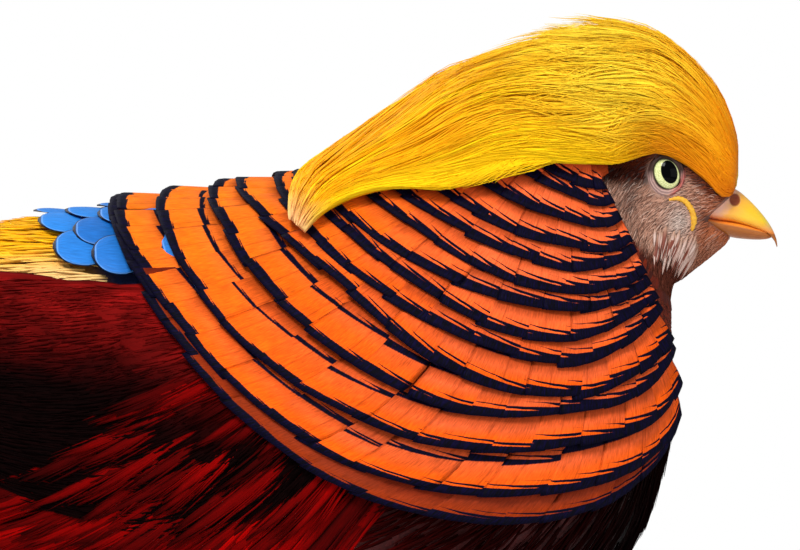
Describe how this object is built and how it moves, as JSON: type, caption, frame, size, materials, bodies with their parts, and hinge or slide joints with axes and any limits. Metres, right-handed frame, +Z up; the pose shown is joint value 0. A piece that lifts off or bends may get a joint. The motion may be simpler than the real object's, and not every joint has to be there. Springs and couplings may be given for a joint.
{
  "type": "golden pheasant",
  "caption": "Life-size still model of a male golden pheasant standing, with a golden crest, barred orange cape, red breast and long tail.",
  "frame": {"origin": "on the floor, under the middle of the bird's length and width", "axes": "+X towards the bill, +Y towards the bird's own left, +Z up"},
  "size_m": [0.9596, 0.1216, 0.2815],
  "materials": {
    "face": "short buff and brown feathers",
    "crest": "silky golden yellow feathers",
    "cape": "orange feathers barred with blue-black",
    "rump": "golden rump feathers below a blue mantle",
    "breast": "deep red loose feathers",
    "wing": "dark maroon and blue feathers",
    "tail": "brown spotted long feathers",
    "bill": "smooth yellow horn",
    "eye": "wet gloss, pale iris and black pupil",
    "leg": "yellowish scaly skin",
    "claw": "dark horn"
  },
  "bodies": {
    "root": {"head": "face", "crest": "crest", "neck_cape": "cape", "back": "rump", "torso": "breast", "bill_upper": "bill", "bill_lower": "bill", "eye_left": "eye", "eye_right": "eye", "wing_left": "wing", "wing_right": "wing", "tail": "tail", "thigh_left": "breast", "thigh_right": "breast", "shank_left": "leg", "shank_right": "leg", "foot_left": "leg", "foot_right": "leg", "claw_inner_left": "claw", "claw_inner_right": "claw", "claw_middle_left": "claw", "claw_middle_right": "claw", "claw_outer_left": "claw", "claw_outer_right": "claw", "claw_hind_left": "claw", "claw_hind_right": "claw"}
  },
  "joints": []
}
